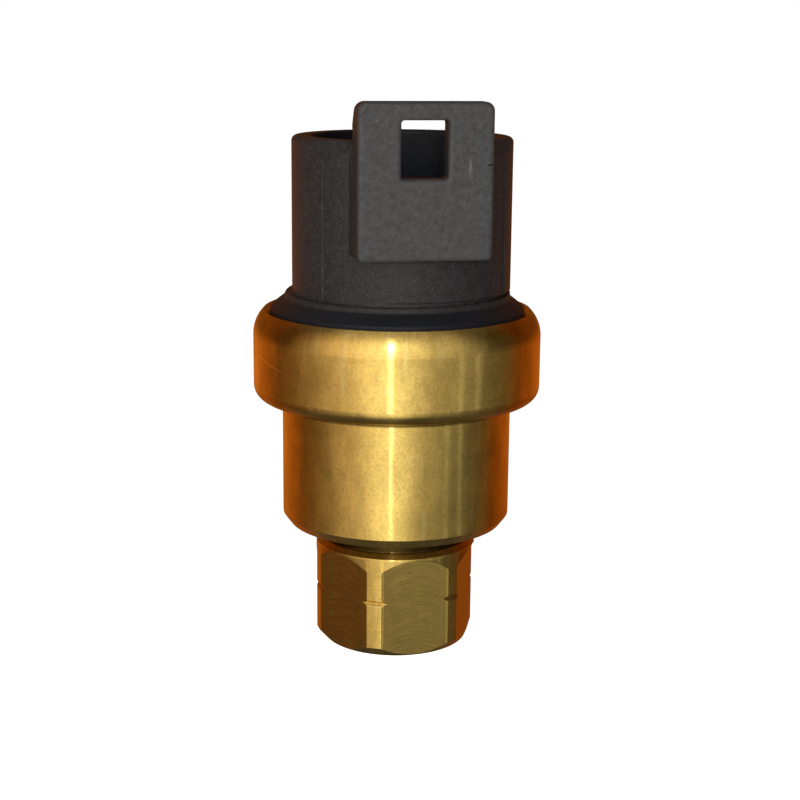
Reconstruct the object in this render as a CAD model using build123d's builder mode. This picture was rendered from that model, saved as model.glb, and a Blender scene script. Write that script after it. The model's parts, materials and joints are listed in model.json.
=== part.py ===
"""Hydraulic / refrigerant pressure switch: brass port body with a crimped ring, a spring-loaded
diaphragm piston, a change-over contact arm and a round three-terminal connector with a latch plate.

Millimetres, +Z up. The origin is the centre of the hex's bottom face; the latch faces -Y.
"""
from build123d import *

import math
import os

os.makedirs("parts", exist_ok=True)

# ---------------------------------------------------------------- clearances
fit_gap = 0.04          # pressed or bonded pieces, radial
slide_gap = 0.06        # running pieces, radial
touch_gap = 0.02        # faces that rest on each other
slot_gap = 0.08         # terminals in their moulded slots, each side

# ---------------------------------------------------------------- port body, outside
hex_across_flats = 15.875
hex_corner_stand = 0.7725       # how far the turned corners stand above the flats
hex_height = 11.6
hex_clocking = 4.7              # degrees that a flat is turned from the latch
hex_runout = 0.08               # how far the milled hexagon sits off the turned axis
hex_foot_chamfer_z = 1.05
hex_foot_chamfer_r = 0.95
hex_top_chamfer = 0.55
flat_peak_drop = 0.74           # from the hex's top to the milled arch's peak
flat_cutter_radius = 5.6
nick_drop = 5.53                # from the hex's top to the nick
nick_depth = 0.25
nick_half_width = 0.3
neck_radius = 7.9
neck_height = 1.75

body_radius = 12.33
body_height = 13.64
body_foot_chamfer_r = 0.73
body_foot_chamfer_z = 0.96
ring_radius = 15.42
ring_height = 9.61
ring_bottom_round = 1.5
lip_lean = 1.12                 # how far the crimped lip leans in
lip_curl_radius = 3.6           # outside radius of the crimp
lip_wall = 1.0

# ---------------------------------------------------------------- port body, inside
thread_major_radius = 5.556     # 7/16-20
thread_depth = 9.2
port_mouth_chamfer = 0.74
depressor_bore_radius = 2.4
depressor_bore_depth = 1.64
throat_radius = 1.2
throat_length = 1.6
filter_radius = 3.0
filter_thickness = 1.2
chamber_radius = 7.0
chamber_depth = 1.0
body_wall = 2.73
flange_grip = 5.1               # from the flange's seat to the lip's tip
flange_seat_width = 2.22
carrier_thickness = 2.4

# ---------------------------------------------------------------- pressure side
oring_section = 0.84
oring_mean_radius = 8.7
oring_side_gap = 0.06
gasket_thickness = 0.5
depressor_pin_radius = 0.6
depressor_pin_length = 3.0
depressor_wall = 0.5
diaphragm_thickness = 0.2
diaphragm_bead_inner = 0.35
diaphragm_bead_at = 6.3
clamp_inner_radius = 6.6
clamp_lip_radius = 5.5
clamp_lip_thickness = 0.5
piston_radius = 6.2
piston_thickness = 1.63
piston_hub_radius = 2.6
piston_hub_height = 1.5
piston_travel = 0.35
stop_gap = 0.05                 # room left above the piston at full travel
pin_radius = 0.8
pin_tip_round = 0.5             # so that the tilting arm rides on the middle of the pin
pin_socket_depth = 1.2

# ---------------------------------------------------------------- calibration
spring_wire = 0.9
spring_mean_radius = 4.3
spring_turns = 4.6
seat_washer_radius = 6.0
seat_washer_thickness = 0.38
nut_thickness = 2.3
nut_hole_radius = 2.65
nut_key_hole_radius = 0.8
nut_key_hole_depth = 1.2
nut_key_inset = 3.4
bush_drop = 0.8                 # how far the bush stands below the nut

# ---------------------------------------------------------------- contacts
boss_height = 0.8
boss_gap = 0.1
carrier_recess_depth = 0.8
carrier_recess_inset = 1.0
pin_hole_radius = 1.0
lever_arm = 6.0                 # from the push pin to the arm's pivot
arm_thickness = 0.4
arm_half_width = 1.3
arm_overhang = 1.2              # arm beyond its contact
arm_clearance = 1.7             # from the carrier's boss to the arm
arm_barrel_wall = 0.3
pivot_pin_radius = 0.45
ear_thickness = 0.7
ear_gap = 0.1
contact_x = 5.0
contact_radius = 1.0
contact_shank_radius = 0.5
contact_head = 0.43
open_gap_spare = 0.06           # left between the open contacts at full travel
return_spring_x = 2.2
return_spring_wire = 0.25
return_spring_radius = 1.1
return_spring_turns = 5.0
strip_thickness = 0.8
terminal_width = 2.8
terminal_tip_drop = 4.92        # from the shroud's rim down to the terminals' tips
terminal_x = 5.2
terminal_back_y = 4.1
terminal_tip_chamfer = 0.3

# ---------------------------------------------------------------- connector housing
shoulder_rise = 0.37            # base cone's foot above the lip
shoulder_chamfer = 0.15
cone_height = 1.53
cone_run = 1.28                 # how far the cone comes in from its foot to the collar
collar_height = 0.52            # low collar between the cone and the shroud
collar_lean = 0.2
collar_chamfer = 0.1
foot_groove_radius = 11.5       # relief under the shroud, round the body's axis
foot_groove_height = 0.42
pocket_wall = 2.8               # carrier seat radius to the contacts' pocket
web_drop = 0.5                  # from the collar's top to the pocket's roof
web_thickness = 2.0
potting_thickness = 1.0
shroud_radius = 11.65
shroud_wall = 2.05
shroud_offset_x = 0.41          # the shroud stands this far off the body's axis
shroud_height = 16.42
rim_round = 0.6
rim_inner_round = 0.25
rib_end_drop = 2.0
latch_width = 13.47
latch_stand = 2.85              # front of the latch plate outside the shroud's radius
latch_drop = 11.42              # plate below the rim
latch_rise = 4.02               # plate above the rim
latch_plate_thickness = 2.25
latch_side_wall = 1.6
latch_floor = 1.5
latch_side_slope_y = 2.6        # the side walls fall back to the rim over this length
latch_top_round = 0.9
latch_bottom_round = 0.65
latch_edge_round = 0.45
window_width = 4.7
window_height = 5.64
window_top_margin = 1.78
window_offset_x = -0.15
window_corner_round = 0.3
window_edge_round = 0.4
key_angle = 40.5                # keying ribs, measured from the side away from the latch
key_width = 0.7
key_height = 0.8
key_top_gap = 1.0
parting_angle = 55.0            # mould parting ribs, measured from the latch
parting_width = 0.28
parting_height = 0.08
facet_angle = 50.0              # shallow tapered facets at the rim beside the latch
facet_height = 1.9
facet_depth = 0.45

# ---------------------------------------------------------------- derived levels
hex_turned_radius = hex_across_flats / 2 + hex_corner_stand
flat_peak_z = hex_height - flat_peak_drop
nick_z = hex_height - nick_drop
neck_top_z = hex_height + neck_height
ring_bottom_z = neck_top_z + body_height
lip_top_z = ring_bottom_z + ring_height
lip_top_radius = ring_radius - lip_lean
flange_bore_radius = ring_radius - lip_wall
carrier_seat_radius = flange_bore_radius - flange_seat_width
flange_seat_z = lip_top_z - flange_grip
carrier_seat_z = flange_seat_z - carrier_thickness
bore_radius = body_radius - body_wall
shoulder_z = lip_top_z + shoulder_rise
collar_top_z = shoulder_z + cone_height
collar_foot_z = collar_top_z - collar_height
web_bottom_z = collar_top_z - web_drop
pocket_radius = carrier_seat_radius - pocket_wall
boss_radius = pocket_radius - boss_gap
rim_z = collar_top_z + shroud_height
latch_reach = shroud_radius + latch_stand
latch_bottom_z = rim_z - latch_drop
latch_top_z = rim_z + latch_rise
window_top_z = latch_top_z - window_top_margin
window_bottom_z = window_top_z - window_height
terminal_tip_z = rim_z - terminal_tip_drop
seat_z = thread_depth + thread_major_radius - depressor_bore_radius
depressor_top_z = seat_z + depressor_bore_depth
filter_z = depressor_top_z + throat_length
chamber_z = filter_z + filter_thickness
land_z = chamber_z + chamber_depth
diaphragm_z = land_z + touch_gap
diaphragm_top_z = diaphragm_z + diaphragm_thickness
piston_z = diaphragm_top_z + touch_gap
piston_top_z = piston_z + piston_thickness
clamp_lip_z = piston_top_z + piston_travel + stop_gap
nut_top_z = carrier_seat_z - 0.1
nut_z = nut_top_z - nut_thickness
seat_washer_z = nut_z - touch_gap - seat_washer_thickness
pin_foot_z = piston_top_z + piston_hub_height - pin_socket_depth
boss_top_z = flange_seat_z + boss_height
arm_bottom_z = boss_top_z + arm_clearance
arm_pivot_x = -lever_arm
arm_end_x = contact_x + arm_overhang
arm_barrel_radius = pivot_pin_radius + arm_barrel_wall
pin_top_z = arm_bottom_z - touch_gap
pivot_z = arm_bottom_z + arm_thickness / 2
contact_rise = piston_travel * (contact_x - arm_pivot_x) / lever_arm
arm_top_z = arm_bottom_z + arm_thickness
moving_bottom_z = arm_bottom_z - contact_head
moving_top_z = arm_top_z + contact_head
closed_top_z = moving_bottom_z - touch_gap
open_bottom_z = moving_top_z + contact_rise + open_gap_spare
open_foot_z = open_bottom_z + contact_head
cavity_floor_z = web_bottom_z + web_thickness
cavity_radius = shroud_radius - shroud_wall

curl_angle = math.degrees(math.acos(1 - lip_lean / lip_curl_radius))
curl_rise = lip_curl_radius * math.sin(math.radians(curl_angle))
curl_centre = (ring_radius - lip_curl_radius, lip_top_z - curl_rise)
curl_inner_radius = lip_curl_radius - lip_wall


def on_circle(radius, angle, z=0.0):
    """A point at an angle from the +X axis."""
    a = math.radians(angle)
    return (radius * math.cos(a), radius * math.sin(a), z)


def curl_point(radius):
    """The end of a crimp arc of this radius, in the half section."""
    a = math.radians(curl_angle)
    return (curl_centre[0] + radius * math.cos(a), curl_centre[1] + radius * math.sin(a))


# ================================================================ port body
with BuildPart() as port_body:
    with BuildSketch(Plane.XZ):
        with BuildLine():
            outline = Polyline(
                (0, 0),
                (hex_turned_radius - hex_foot_chamfer_r, 0),
                (hex_turned_radius, hex_foot_chamfer_z),
                (hex_turned_radius, hex_height - hex_top_chamfer),
                (hex_turned_radius - hex_top_chamfer, hex_height),
                (neck_radius, hex_height),
                (neck_radius, neck_top_z),
                (body_radius - body_foot_chamfer_r, neck_top_z),
                (body_radius, neck_top_z + body_foot_chamfer_z),
                (body_radius, ring_bottom_z),
                (ring_radius - ring_bottom_round, ring_bottom_z),
            )
            foot = CenterArc((ring_radius - ring_bottom_round, ring_bottom_z + ring_bottom_round),
                             ring_bottom_round, -90, 90)
            wall = Line(foot @ 1, (ring_radius, curl_centre[1]))
            curl = CenterArc(curl_centre, lip_curl_radius, 0, curl_angle)
            tip = Line(curl @ 1, curl_point(curl_inner_radius))
            under = ThreePointArc(
                tip @ 1,
                (curl_centre[0] + curl_inner_radius * math.cos(math.radians(curl_angle / 2)),
                 curl_centre[1] + curl_inner_radius * math.sin(math.radians(curl_angle / 2))),
                (curl_centre[0] + curl_inner_radius, curl_centre[1]),
            )
            Polyline(under @ 1, (flange_bore_radius, flange_seat_z), (0, flange_seat_z), (0, 0))
        make_face()
    revolve(axis=Axis.Z)

    # six flats, each milled with an arched upper end
    runout = Vector(*on_circle(hex_runout, 120 + hex_clocking))
    for k in range(6):
        angle = -90 + hex_clocking + 60 * k
        flat = Plane(
            origin=runout + Vector(*on_circle(hex_across_flats / 2, angle, flat_peak_z - flat_cutter_radius)),
            x_dir=on_circle(1, angle + 90),
            z_dir=on_circle(1, angle),
        )
        with BuildSketch(flat):
            Circle(flat_cutter_radius)
            Rectangle(2 * flat_cutter_radius, 2 * flat_peak_z, align=(Align.CENTER, Align.MAX))
        extrude(amount=hex_turned_radius, mode=Mode.SUBTRACT)

    # marking nick that only reaches the corners
    with BuildSketch(Plane.XZ):
        with BuildLine():
            Polyline(
                (hex_turned_radius - nick_depth, nick_z),
                (hex_turned_radius + nick_depth, nick_z - 2 * nick_half_width),
                (hex_turned_radius + nick_depth, nick_z + 2 * nick_half_width),
                close=True,
            )
        make_face()
    revolve(axis=Axis.Z, mode=Mode.SUBTRACT)

    # stepped bore: thread, flare seat, throat, filter seat, chamber, spring bore, carrier seat
    with BuildSketch(Plane.XZ):
        with BuildLine():
            Polyline(
                (0, -1),
                (thread_major_radius + port_mouth_chamfer + 1, -1),
                (thread_major_radius, port_mouth_chamfer),
                (thread_major_radius, thread_depth),
                (depressor_bore_radius, seat_z),
                (depressor_bore_radius, depressor_top_z),
                (throat_radius, depressor_top_z),
                (throat_radius, filter_z),
                (filter_radius, filter_z),
                (filter_radius, chamber_z),
                (chamber_radius, chamber_z),
                (chamber_radius, land_z),
                (bore_radius, land_z),
                (bore_radius, carrier_seat_z),
                (carrier_seat_radius, carrier_seat_z),
                (carrier_seat_radius, flange_seat_z + 1),
                (0, flange_seat_z + 1),
                close=True,
            )
        make_face()
    revolve(axis=Axis.Z, mode=Mode.SUBTRACT)

    # O-ring grooves in the diaphragm land and in the flange seat
    groove_half = oring_section / 2 + oring_side_gap
    seal_mean_radius = (carrier_seat_radius + flange_bore_radius) / 2
    with BuildSketch(Plane.XZ):
        with Locations((oring_mean_radius, land_z), (seal_mean_radius, flange_seat_z)):
            Rectangle(2 * groove_half, 2 * oring_section)
    revolve(axis=Axis.Z, mode=Mode.SUBTRACT)

    fillet(port_body.edges().filter_by(GeomType.CIRCLE).group_by(Axis.Z)[0].sort_by(SortBy.RADIUS)[-1:], 0.1)
port_body.part.label = "port_body"
export_step(port_body.part, "parts/port_body.step")


# ================================================================ pressure side
with BuildPart() as valve_depressor:
    with BuildSketch(Plane.XY.offset(seat_z)):
        Circle(depressor_bore_radius - fit_gap)
        Circle(depressor_bore_radius - fit_gap - depressor_wall, mode=Mode.SUBTRACT)
        with PolarLocations(0, 3):
            Rectangle(depressor_bore_radius - depressor_wall, depressor_pin_radius, align=(Align.MIN, Align.CENTER))
        Circle(depressor_pin_radius)
    extrude(amount=depressor_bore_depth - touch_gap)
    with BuildSketch(Plane.XY.offset(seat_z)):
        Circle(depressor_pin_radius)
    extrude(amount=-depressor_pin_length)
    tip_edge = valve_depressor.edges().filter_by(GeomType.CIRCLE).group_by(Axis.Z)[0]
    chamfer(tip_edge, depressor_pin_radius / 3)
valve_depressor.part.label = "valve_depressor"
export_step(valve_depressor.part, "parts/valve_depressor.step")

# conical copper gasket lying on the 45 degree flare seat
with BuildPart() as flare_gasket:
    seat_edge = 0.5                     # bare seat left at each end of the gasket
    step_in = gasket_thickness / math.sqrt(2)
    with BuildSketch(Plane.XZ):
        with BuildLine():
            low = (thread_major_radius - seat_edge, thread_depth + seat_edge - touch_gap)
            high = (depressor_bore_radius + seat_edge, seat_z - seat_edge - touch_gap)
            Polyline(
                low,
                high,
                (high[0] - step_in, high[1] - step_in),
                (low[0] - step_in, low[1] - step_in),
                close=True,
            )
        make_face()
    revolve(axis=Axis.Z)
flare_gasket.part.label = "flare_gasket"
export_step(flare_gasket.part, "parts/flare_gasket.step")

with BuildPart() as inlet_filter:
    with BuildSketch(Plane.XY.offset(filter_z + touch_gap)):
        Circle(filter_radius - fit_gap)
    extrude(amount=filter_thickness - 2 * touch_gap)
    chamfer(inlet_filter.edges().filter_by(GeomType.CIRCLE), 0.15)
inlet_filter.part.label = "inlet_filter"
export_step(inlet_filter.part, "parts/inlet_filter.step")

with BuildPart() as diaphragm_seal:
    with BuildSketch(Plane.XZ):
        with Locations((oring_mean_radius, land_z - oring_section / 2)):
            Circle(oring_section / 2 - touch_gap)
    revolve(axis=Axis.Z)
diaphragm_seal.part.label = "diaphragm_seal"
export_step(diaphragm_seal.part, "parts/diaphragm_seal.step")

# thin disc with one rolled bead that lets its middle rise
with BuildPart() as diaphragm:
    bead_outer = diaphragm_bead_inner + diaphragm_thickness
    with BuildSketch(Plane.XZ):
        with BuildLine():
            Polyline(
                (diaphragm_bead_at - bead_outer, diaphragm_z),
                (0, diaphragm_z),
                (0, diaphragm_top_z),
                (diaphragm_bead_at - diaphragm_bead_inner, diaphragm_top_z),
            )
            ThreePointArc(
                (diaphragm_bead_at - diaphragm_bead_inner, diaphragm_top_z),
                (diaphragm_bead_at, diaphragm_top_z - diaphragm_bead_inner),
                (diaphragm_bead_at + diaphragm_bead_inner, diaphragm_top_z),
            )
            Polyline(
                (diaphragm_bead_at + diaphragm_bead_inner, diaphragm_top_z),
                (bore_radius - fit_gap, diaphragm_top_z),
                (bore_radius - fit_gap, diaphragm_z),
                (diaphragm_bead_at + bead_outer, diaphragm_z),
            )
            ThreePointArc(
                (diaphragm_bead_at + bead_outer, diaphragm_z),
                (diaphragm_bead_at, diaphragm_z - bead_outer + diaphragm_thickness / 2),
                (diaphragm_bead_at - bead_outer, diaphragm_z),
            )
        make_face()
    revolve(axis=Axis.Z)
diaphragm.part.label = "diaphragm"
export_step(diaphragm.part, "parts/diaphragm.step")

# ring that pins the diaphragm's rim; its inner lip stops the piston
with BuildPart() as diaphragm_clamp_ring:
    with BuildSketch(Plane.XZ):
        with BuildLine():
            Polyline(
                (clamp_inner_radius, diaphragm_top_z + touch_gap),
                (bore_radius - fit_gap, diaphragm_top_z + touch_gap),
                (bore_radius - fit_gap, clamp_lip_z + clamp_lip_thickness),
                (clamp_lip_radius, clamp_lip_z + clamp_lip_thickness),
                (clamp_lip_radius, clamp_lip_z),
                (clamp_inner_radius, clamp_lip_z),
                close=True,
            )
        make_face()
    revolve(axis=Axis.Z)
diaphragm_clamp_ring.part.label = "diaphragm_clamp_ring"
export_step(diaphragm_clamp_ring.part, "parts/diaphragm_clamp_ring.step")

with BuildPart() as piston:
    with BuildSketch(Plane.XY.offset(piston_z)):
        Circle(piston_radius)
    extrude(amount=piston_thickness)
    chamfer(piston.edges().filter_by(GeomType.CIRCLE), 0.2)
    with BuildSketch(Plane.XY.offset(piston_top_z)):
        Circle(piston_hub_radius)
    extrude(amount=piston_hub_height)
    with BuildSketch(Plane.XY.offset(pin_foot_z)):
        Circle(pin_radius + touch_gap)
    extrude(amount=pin_socket_depth + 1, mode=Mode.SUBTRACT)
piston.part.label = "piston"
export_step(piston.part, "parts/piston.step")

with BuildPart() as push_pin:
    with BuildSketch(Plane.XY.offset(pin_foot_z + touch_gap)):
        Circle(pin_radius)
    extrude(amount=pin_top_z - pin_foot_z - touch_gap)
    foot_edge, tip_edge = push_pin.edges().filter_by(GeomType.CIRCLE).sort_by(Axis.Z)
    chamfer(foot_edge, pin_radius / 4)
    fillet(tip_edge, pin_tip_round)
push_pin.part.label = "push_pin"
export_step(push_pin.part, "parts/push_pin.step")


# ================================================================ calibration
def coil(bottom_z, top_z, mean_radius, wire, turns, x=0.0):
    """A compression spring with both ends ground flat."""
    pitch = (top_z - bottom_z) / turns
    with BuildPart(mode=Mode.PRIVATE) as spring:
        with BuildLine(Plane.XY.offset(bottom_z)):
            path = Helix(pitch, top_z - bottom_z, mean_radius, center=(x, 0, 0))
        with BuildSketch(Plane(origin=path @ 0, z_dir=path % 0)):
            Circle(wire / 2)
        sweep(path=path)
        split(bisect_by=Plane.XY.offset(bottom_z), keep=Keep.TOP)
        split(bisect_by=Plane.XY.offset(top_z), keep=Keep.BOTTOM)
    return spring.part


with BuildPart() as calibration_spring:
    add(coil(piston_top_z + touch_gap, seat_washer_z - touch_gap, spring_mean_radius, spring_wire, spring_turns))
calibration_spring.part.label = "calibration_spring"
export_step(calibration_spring.part, "parts/calibration_spring.step")

with BuildPart() as spring_seat_washer:
    with BuildSketch(Plane.XY.offset(seat_washer_z)):
        Circle(seat_washer_radius)
        Circle(nut_hole_radius + slide_gap, mode=Mode.SUBTRACT)
    extrude(amount=seat_washer_thickness)
spring_seat_washer.part.label = "spring_seat_washer"
export_step(spring_seat_washer.part, "parts/spring_seat_washer.step")

with BuildPart() as adjusting_nut:
    with BuildSketch(Plane.XY.offset(nut_z)):
        Circle(bore_radius - fit_gap)
        Circle(nut_hole_radius, mode=Mode.SUBTRACT)
    extrude(amount=nut_thickness)
    chamfer(adjusting_nut.edges().filter_by(GeomType.CIRCLE).sort_by(SortBy.RADIUS)[-2:], 0.3)
    with BuildSketch(Plane.XY.offset(nut_top_z - nut_key_hole_depth)):
        with PolarLocations(bore_radius - nut_key_inset, 4):
            Circle(nut_key_hole_radius)
    extrude(amount=nut_key_hole_depth, mode=Mode.SUBTRACT)
adjusting_nut.part.label = "adjusting_nut"
export_step(adjusting_nut.part, "parts/adjusting_nut.step")

with BuildPart() as piston_guide_bush:
    with BuildSketch(Plane.XY.offset(nut_z - bush_drop)):
        Circle(nut_hole_radius - touch_gap)
        Circle(pin_radius + slide_gap, mode=Mode.SUBTRACT)
    extrude(amount=nut_thickness + bush_drop)
    chamfer(piston_guide_bush.edges().filter_by(GeomType.CIRCLE).sort_by(SortBy.RADIUS)[-2:], 0.25)
piston_guide_bush.part.label = "piston_guide_bush"
export_step(piston_guide_bush.part, "parts/piston_guide_bush.step")


# ================================================================ contacts
with BuildPart() as contact_carrier:
    with BuildSketch(Plane.XY.offset(carrier_seat_z + touch_gap)):
        Circle(carrier_seat_radius - fit_gap)
    extrude(amount=flange_seat_z - carrier_seat_z - 2 * touch_gap)
    with BuildSketch(Plane.XY.offset(flange_seat_z - touch_gap)):
        Circle(boss_radius)
    extrude(amount=boss_height + touch_gap)
    # post under the arm's pivot
    with BuildSketch(Plane.XY.offset(boss_top_z)):
        with Locations((arm_pivot_x, 0)):
            Rectangle(2 * arm_barrel_radius + 1, 2 * arm_half_width)
    extrude(amount=pivot_z - arm_barrel_radius - boss_top_z - strip_thickness / 4)
    with BuildSketch(Plane.XY.offset(carrier_seat_z)):
        Circle(pin_hole_radius)
    extrude(amount=boss_top_z - carrier_seat_z, mode=Mode.SUBTRACT)
    # recess that clears the key holes' burrs and the nut's face
    with BuildSketch(Plane.XY.offset(carrier_seat_z)):
        Circle(bore_radius - carrier_recess_inset)
        Circle(2 * pin_hole_radius, mode=Mode.SUBTRACT)
    extrude(amount=carrier_recess_depth, mode=Mode.SUBTRACT)
contact_carrier.part.label = "contact_carrier"
export_step(contact_carrier.part, "parts/contact_carrier.step")

with BuildPart() as contact_arm:
    with BuildSketch(Plane.XY.offset(arm_bottom_z)):
        with Locations(((arm_pivot_x + arm_end_x) / 2, 0)):
            Rectangle(arm_end_x - arm_pivot_x, 2 * arm_half_width)
    extrude(amount=arm_thickness)
    fillet(contact_arm.edges().filter_by(Axis.Z).sort_by(Axis.X)[-2:], arm_half_width * 0.8)
    with BuildSketch(Plane.XZ.offset(-arm_half_width)):
        with Locations((arm_pivot_x, pivot_z)):
            Circle(arm_barrel_radius)
    extrude(amount=2 * arm_half_width)
    with BuildSketch(Plane.XZ.offset(-arm_half_width)):
        with Locations((arm_pivot_x, pivot_z)):
            Circle(pivot_pin_radius + slide_gap)
    extrude(amount=2 * arm_half_width, mode=Mode.SUBTRACT)
    with BuildSketch(Plane.XY.offset(arm_bottom_z)):
        with Locations((contact_x, 0)):
            Circle(contact_shank_radius + touch_gap)
    extrude(amount=arm_thickness, mode=Mode.SUBTRACT)
contact_arm.part.label = "contact_arm"
export_step(contact_arm.part, "parts/contact_arm.step")

# silver rivet with a head above and below the arm
with BuildPart() as moving_contact:
    with BuildSketch(Plane.XY.offset(moving_bottom_z)):
        with Locations((contact_x, 0)):
            Circle(contact_radius)
    extrude(amount=contact_head - touch_gap / 2)
    with BuildSketch(Plane.XY.offset(arm_top_z + touch_gap / 2)):
        with Locations((contact_x, 0)):
            Circle(contact_radius)
    extrude(amount=contact_head - touch_gap / 2)
    with BuildSketch(Plane.XY.offset(moving_bottom_z + contact_head / 2)):
        with Locations((contact_x, 0)):
            Circle(contact_shank_radius)
    extrude(amount=arm_thickness + contact_head)
    rims = moving_contact.edges().filter_by(GeomType.CIRCLE)
    fillet(rims.group_by(Axis.Z)[0] + rims.group_by(Axis.Z)[-1], contact_head / 2)
moving_contact.part.label = "moving_contact"
export_step(moving_contact.part, "parts/moving_contact.step")


def fixed_contact(face_z, direction):
    """A domed contact whose face is at face_z and whose shank runs in direction, +1 or -1."""
    with BuildPart(mode=Mode.PRIVATE) as contact:
        with BuildSketch(Plane.XY.offset(face_z)):
            with Locations((contact_x, 0)):
                Circle(contact_radius)
        extrude(amount=direction * (contact_head - touch_gap))
        with BuildSketch(Plane.XY.offset(face_z)):
            with Locations((contact_x, 0)):
                Circle(contact_shank_radius)
        extrude(amount=direction * (contact_head + strip_thickness))
        rims = contact.edges().filter_by(GeomType.CIRCLE).filter_by(lambda e: abs(e.radius - contact_radius) < 1e-6)
        near_face = rims.sort_by(lambda e: abs(e.center().Z - face_z))[0]
        fillet(near_face, contact_head / 2)
    return contact.part


with BuildPart() as normally_closed_contact:
    add(fixed_contact(closed_top_z, -1))
normally_closed_contact.part.label = "normally_closed_contact"
export_step(normally_closed_contact.part, "parts/normally_closed_contact.step")

with BuildPart() as normally_open_contact:
    add(fixed_contact(open_bottom_z, 1))
normally_open_contact.part.label = "normally_open_contact"
export_step(normally_open_contact.part, "parts/normally_open_contact.step")

# clevis ears, a bridge above the barrel and a blade that rises into the connector
with BuildPart() as terminal_common:
    ear_inside = arm_half_width + ear_gap
    ear_outside = ear_inside + ear_thickness
    bridge_z = pivot_z + arm_barrel_radius + 0.5
    ear_length = 2 * arm_barrel_radius + 1
    with BuildSketch(Plane.XY.offset(pivot_z - arm_barrel_radius)):
        with Locations((arm_pivot_x, ear_inside), (arm_pivot_x, -ear_outside)):
            Rectangle(ear_length, ear_thickness, align=(Align.CENTER, Align.MIN))
    extrude(amount=bridge_z - pivot_z + arm_barrel_radius)
    with BuildSketch(Plane.XY.offset(bridge_z)):
        with Locations((arm_pivot_x, 0)):
            Rectangle(ear_length, 2 * ear_outside)
    extrude(amount=strip_thickness)
    with BuildSketch(Plane.XZ.offset(-ear_outside)):
        with Locations((arm_pivot_x, pivot_z)):
            Circle(pivot_pin_radius)
    extrude(amount=2 * ear_outside, mode=Mode.SUBTRACT)
    with BuildSketch(Plane.XY.offset(bridge_z)):
        with Locations((-terminal_x, 0)):
            Rectangle(terminal_width, strip_thickness)
    extrude(amount=terminal_tip_z - bridge_z)
    chamfer(terminal_common.faces().sort_by(Axis.Z)[-1].edges(), terminal_tip_chamfer)
terminal_common.part.label = "terminal_common"
export_step(terminal_common.part, "parts/terminal_common.step")

with BuildPart() as arm_pivot_pin:
    with BuildSketch(Plane.XZ.offset(-ear_outside - touch_gap)):
        with Locations((arm_pivot_x, pivot_z)):
            Circle(pivot_pin_radius)
    extrude(amount=2 * ear_outside + 2 * touch_gap)
arm_pivot_pin.part.label = "arm_pivot_pin"
export_step(arm_pivot_pin.part, "parts/arm_pivot_pin.step")

with BuildPart() as arm_return_spring:
    add(coil(arm_top_z + touch_gap, web_bottom_z - touch_gap, return_spring_radius, return_spring_wire,
             return_spring_turns, x=return_spring_x))
arm_return_spring.part.label = "arm_return_spring"
export_step(arm_return_spring.part, "parts/arm_return_spring.step")

# a foot that carries the open contact, with its blade straight above
with BuildPart() as terminal_no:
    with BuildSketch(Plane.XY.offset(open_foot_z)):
        with Locations((terminal_x, 0)):
            Rectangle(terminal_width, 2 * arm_half_width)
    extrude(amount=strip_thickness)
    with BuildSketch(Plane.XY.offset(open_foot_z)):
        with Locations((terminal_x, 0)):
            Rectangle(terminal_width, strip_thickness)
    extrude(amount=terminal_tip_z - open_foot_z)
    with BuildSketch(Plane.XY.offset(open_foot_z)):
        with Locations((contact_x, 0)):
            Circle(contact_shank_radius + touch_gap)
    extrude(amount=strip_thickness + touch_gap, mode=Mode.SUBTRACT)
    chamfer(terminal_no.faces().sort_by(Axis.Z)[-1].edges(), terminal_tip_chamfer)
terminal_no.part.label = "terminal_no"
export_step(terminal_no.part, "parts/terminal_no.step")

# the closed contact's foot runs behind the arm, then the strip turns up and across to the back blade
with BuildPart() as terminal_nc:
    foot_top_z = closed_top_z - contact_head
    foot_z = foot_top_z - strip_thickness
    back_face_y = terminal_back_y + strip_thickness / 2
    strip_bridge_z = web_bottom_z - 2.4
    with BuildSketch(Plane.XY.offset(foot_z)):
        with Locations((terminal_x, -arm_half_width)):
            Rectangle(terminal_width, back_face_y + arm_half_width, align=(Align.CENTER, Align.MIN))
    extrude(amount=strip_thickness)
    with BuildSketch(Plane.XZ.offset(-back_face_y)):
        with BuildLine():
            Polyline(
                (terminal_x - terminal_width / 2, foot_z),
                (terminal_x + terminal_width / 2, foot_z),
                (terminal_x + terminal_width / 2, strip_bridge_z + 1.6),
                (terminal_width / 2, strip_bridge_z + 1.6),
                (terminal_width / 2, terminal_tip_z),
                (-terminal_width / 2, terminal_tip_z),
                (-terminal_width / 2, strip_bridge_z),
                (terminal_x - terminal_width / 2, strip_bridge_z),
                close=True,
            )
        make_face()
    extrude(amount=strip_thickness)
    with BuildSketch(Plane.XY.offset(foot_z)):
        with Locations((contact_x, 0)):
            Circle(contact_shank_radius + touch_gap)
    extrude(amount=strip_thickness, mode=Mode.SUBTRACT)
    chamfer(terminal_nc.faces().sort_by(Axis.Z)[-1].edges(), terminal_tip_chamfer)
terminal_nc.part.label = "terminal_nc"
export_step(terminal_nc.part, "parts/terminal_nc.step")

terminal_places = [(-terminal_x, 0), (terminal_x, 0), (0, terminal_back_y)]


# ================================================================ connector
with BuildPart() as housing_seal:
    with BuildSketch(Plane.XZ):
        with Locations((seal_mean_radius, flange_seat_z - oring_section / 2)):
            Circle(oring_section / 2 - touch_gap)
    revolve(axis=Axis.Z)
housing_seal.part.label = "housing_seal"
export_step(housing_seal.part, "parts/housing_seal.step")

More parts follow.
